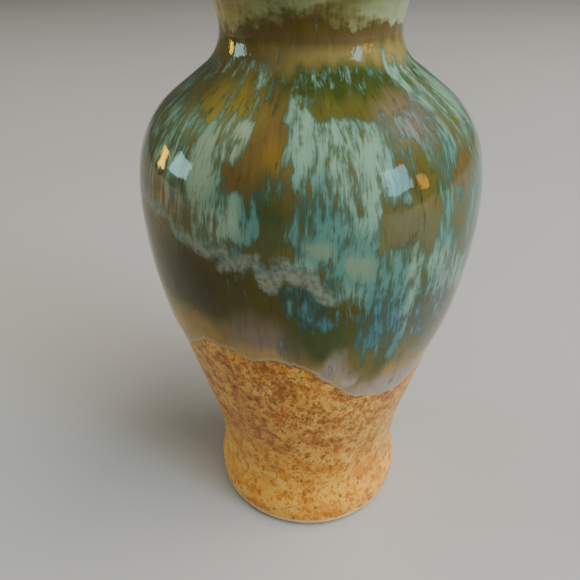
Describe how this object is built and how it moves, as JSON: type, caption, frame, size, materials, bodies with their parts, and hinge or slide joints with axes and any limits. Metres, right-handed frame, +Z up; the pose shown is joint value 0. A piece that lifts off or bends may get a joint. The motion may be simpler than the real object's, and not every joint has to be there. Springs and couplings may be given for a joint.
{
  "type": "ceramic bud vase",
  "caption": "Small hollow stoneware bud vase with a narrow flared neck, full shoulder, slim waist and foot ring, coated in running and speckled glazes.",
  "frame": {"origin": "centre of the circle on which the foot ring stands, at the lowest point", "axes": "+Z up along the vase's axis, towards the lip; -Y towards the front"},
  "size_m": [0.07, 0.07, 0.1268],
  "materials": {
    "bare_clay": "unglazed fine stoneware",
    "speckled_honey": "satin speckled glaze",
    "dark_olive": "glossy thick glaze",
    "turquoise": "glossy running glaze",
    "celadon": "glossy pale glaze",
    "liner": "glossy pale glaze",
    "recess": "satin glaze"
  },
  "bodies": {
    "root": {"stoneware_body": "bare_clay", "speckled_glaze": "speckled_honey", "olive_glaze": "dark_olive", "turquoise_glaze": "turquoise", "rim_glaze": "celadon", "liner_glaze": "liner", "recess_glaze": "recess"}
  },
  "joints": []
}
